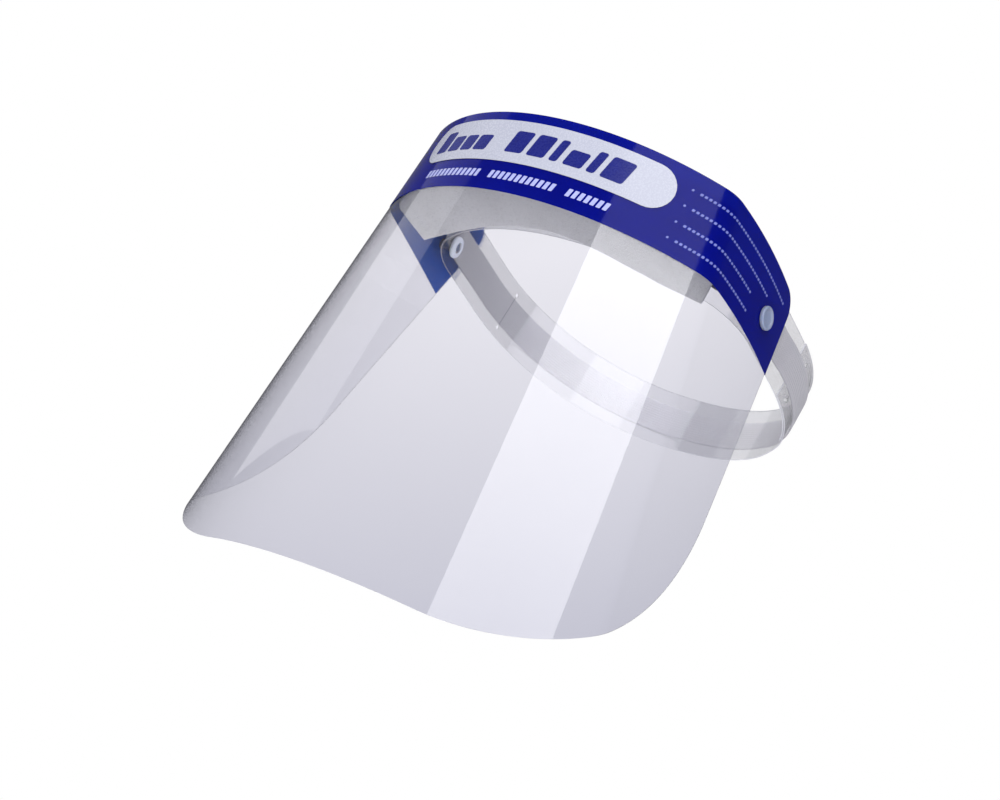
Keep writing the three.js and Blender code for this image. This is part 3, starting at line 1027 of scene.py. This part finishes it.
STUDIO_UP = (-0.22, -0.57, 0.79)
FADE_LOW, FADE_HIGH = -0.1, 0.06
BACKDROP_LOW, BACKDROP_HIGH = (0.66, 0.66, 0.74), (0.97, 0.96, 1.0)
ROOM_FRONT, FRONT_LIGHT = (0.0, -1.0, -0.1), (2.7, 2.7, 2.75)
MIRRORED_ROOM = (0.15, 0.15, 0.17)

SOFTBOXES = (  # name, azimuth, elevation, distance, size, radiance, is it seen in reflections
    ("key", 28, 22, 1.5, (1.05, 1.3), (1.7, 3.2), True),
    ("fill", -75, 30, 2.2, (1.2, 1.6), (0.5, 0.5), True),
    ("under", 60, -52, 1.2, (0.8, 0.8), (6.0, 6.0), False),
)


def build_softbox(name, azimuth, elevation, distance, size, radiance, seen):
    """A rectangular lamp that faces the object, seen from it in this direction.

    Its radiance changes evenly between the two values, from its bottom to its top.
    """
    lamp = bpy.data.lights.new(name, "AREA")
    lamp.shape = "RECTANGLE"
    lamp.size, lamp.size_y = size
    lamp.energy = math.pi * size[0] * size[1]
    lamp.use_nodes = True
    tree = lamp.node_tree
    emission = next(n for n in tree.nodes if n.type == "EMISSION")
    spread = tree.nodes.new("ShaderNodeMapRange")
    parts = tree.nodes.new("ShaderNodeSeparateXYZ")
    place = tree.nodes.new("ShaderNodeTexCoord").outputs["UV"]
    tree.links.new(place, parts.inputs["Vector"])
    tree.links.new(parts.outputs["Y"], spread.inputs["Value"])
    spread.inputs["To Min"].default_value, spread.inputs["To Max"].default_value = radiance
    tree.links.new(spread.outputs["Result"], emission.inputs["Strength"])
    holder = bpy.data.objects.new(name, lamp)
    a, e = math.radians(azimuth), math.radians(elevation)
    away = Vector((math.sin(a) * math.cos(e), -math.cos(a) * math.cos(e), math.sin(e)))
    holder.location = away * distance
    holder.rotation_mode = "QUATERNION"
    holder.rotation_quaternion = away.to_track_quat("Z", "Y")
    holder.visible_glossy = holder.visible_transmission = seen
    bpy.context.scene.collection.objects.link(holder)


def facing(tree, direction, way):
    """The dot product of a direction and a fixed way."""
    node = tree.nodes.new("ShaderNodeVectorMath")
    node.operation = "DOT_PRODUCT"
    tree.links.new(direction, node.inputs[0])
    node.inputs[1].default_value = way
    return node.outputs["Value"]


def build_world():
    """White to the camera, and dark in reflections.

    The rest of the light comes from a backdrop that fades downwards and is brightest ahead.
    """
    world = bpy.data.worlds.new("studio")
    world.use_nodes = True
    tree = world.node_tree
    background = next(n for n in tree.nodes if n.type == "BACKGROUND")
    direction = tree.nodes.new("ShaderNodeTexCoord").outputs["Generated"]
    share = tree.nodes.new("ShaderNodeMapRange")
    tree.links.new(facing(tree, direction, STUDIO_UP), share.inputs["Value"])
    share.inputs["From Min"].default_value = FADE_LOW
    share.inputs["From Max"].default_value = FADE_HIGH
    fade = mix_colours(tree, share.outputs["Result"], BACKDROP_LOW, BACKDROP_HIGH)
    front = mix_colours(tree, facing(tree, direction, ROOM_FRONT), fade, FRONT_LIGHT)
    path = tree.nodes.new("ShaderNodeLightPath")
    room = mix_colours(tree, path.outputs["Glossy Depth"], front, MIRRORED_ROOM)
    seen = mix_colours(tree, path.outputs["Is Camera Ray"], room, grey(1.0))
    tree.links.new(seen, background.inputs["Color"])
    bpy.context.scene.world = world


def build_floor():
    mesh = bpy.data.meshes.new("floor")
    form = bmesh.new()
    bmesh.ops.create_grid(form, x_segments=1, y_segments=1, size=FLOOR_REACH)
    form.to_mesh(mesh)
    form.free()
    floor = bpy.data.objects.new("floor", mesh)
    floor.location = (0, 0, FLOOR_HEIGHT)
    bpy.context.scene.collection.objects.link(floor)
    nodes = Nodes("pale_floor")
    place = nodes.object_place()
    nodes.link(nodes.ramp(nodes.noise(place, 3, 4), grey(0.86), grey(0.9)), "Base Color")
    nodes.link(nodes.remap(nodes.noise(place, 40, 3), 0, 1, 0.6, 0.8), "Roughness")
    mesh.materials.append(nodes.material)


def build_studio():
    build_camera()
    build_world()
    build_floor()
    for settings in SOFTBOXES:
        build_softbox(*settings)
    scene = bpy.context.scene
    scene.view_settings.view_transform = "Standard"
    scene.view_settings.look = "None"


# ---- assembly ----


def build_shield():
    edge = cut_edge()
    build_film(clear_plastic("visor_plastic", (0.935, 0.935, 0.965), 0.02, 1.0), edge)
    build_header(header_ink(), header_ink_painted_backlight())
    build_label(label_ink())
    build_title(mark_ink("title_ink", (0.004, 0.006, 0.09), (0.008, 0.012, 0.13)))
    build_subtitle(mark_ink("subtitle_ink", (0.20, 0.22, 0.42), (0.26, 0.28, 0.50)))
    build_bullets(mark_ink("bullet_ink", (0.07, 0.09, 0.30), (0.11, 0.13, 0.38)))
    build_pad(foam_material())
    build_band(clear_plastic("band_plastic", (0.90, 0.90, 0.925), 0.05, 0.45), edge)
    # The back's far lighter colour is painted light: it stands in for the light that the film
    # and the band keep from the elastic's inner face.
    build_elastic(
        elastic_material("elastic_face", (0.20, 0.197, 0.225), (0.265, 0.26, 0.29)),
        elastic_material("elastic_back_painted_light", (0.63, 0.625, 0.665), (0.74, 0.735, 0.775)),
    )
    cap_nylon = nylon_material("cap_nylon", (0.14, 0.165, 0.245), (0.17, 0.19, 0.275))
    socket_nylon = nylon_material("socket_nylon", (0.62, 0.63, 0.72), (0.70, 0.71, 0.80))
    for side in SIDES:
        build_rivet(side, f"snap_rivet_{side_word(side)}", cap_nylon)
        build_socket(side, f"snap_socket_{side_word(side)}", socket_nylon)
    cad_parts["foam_tape"].data.materials[0] = tape_material()


build_shield()
build_studio()
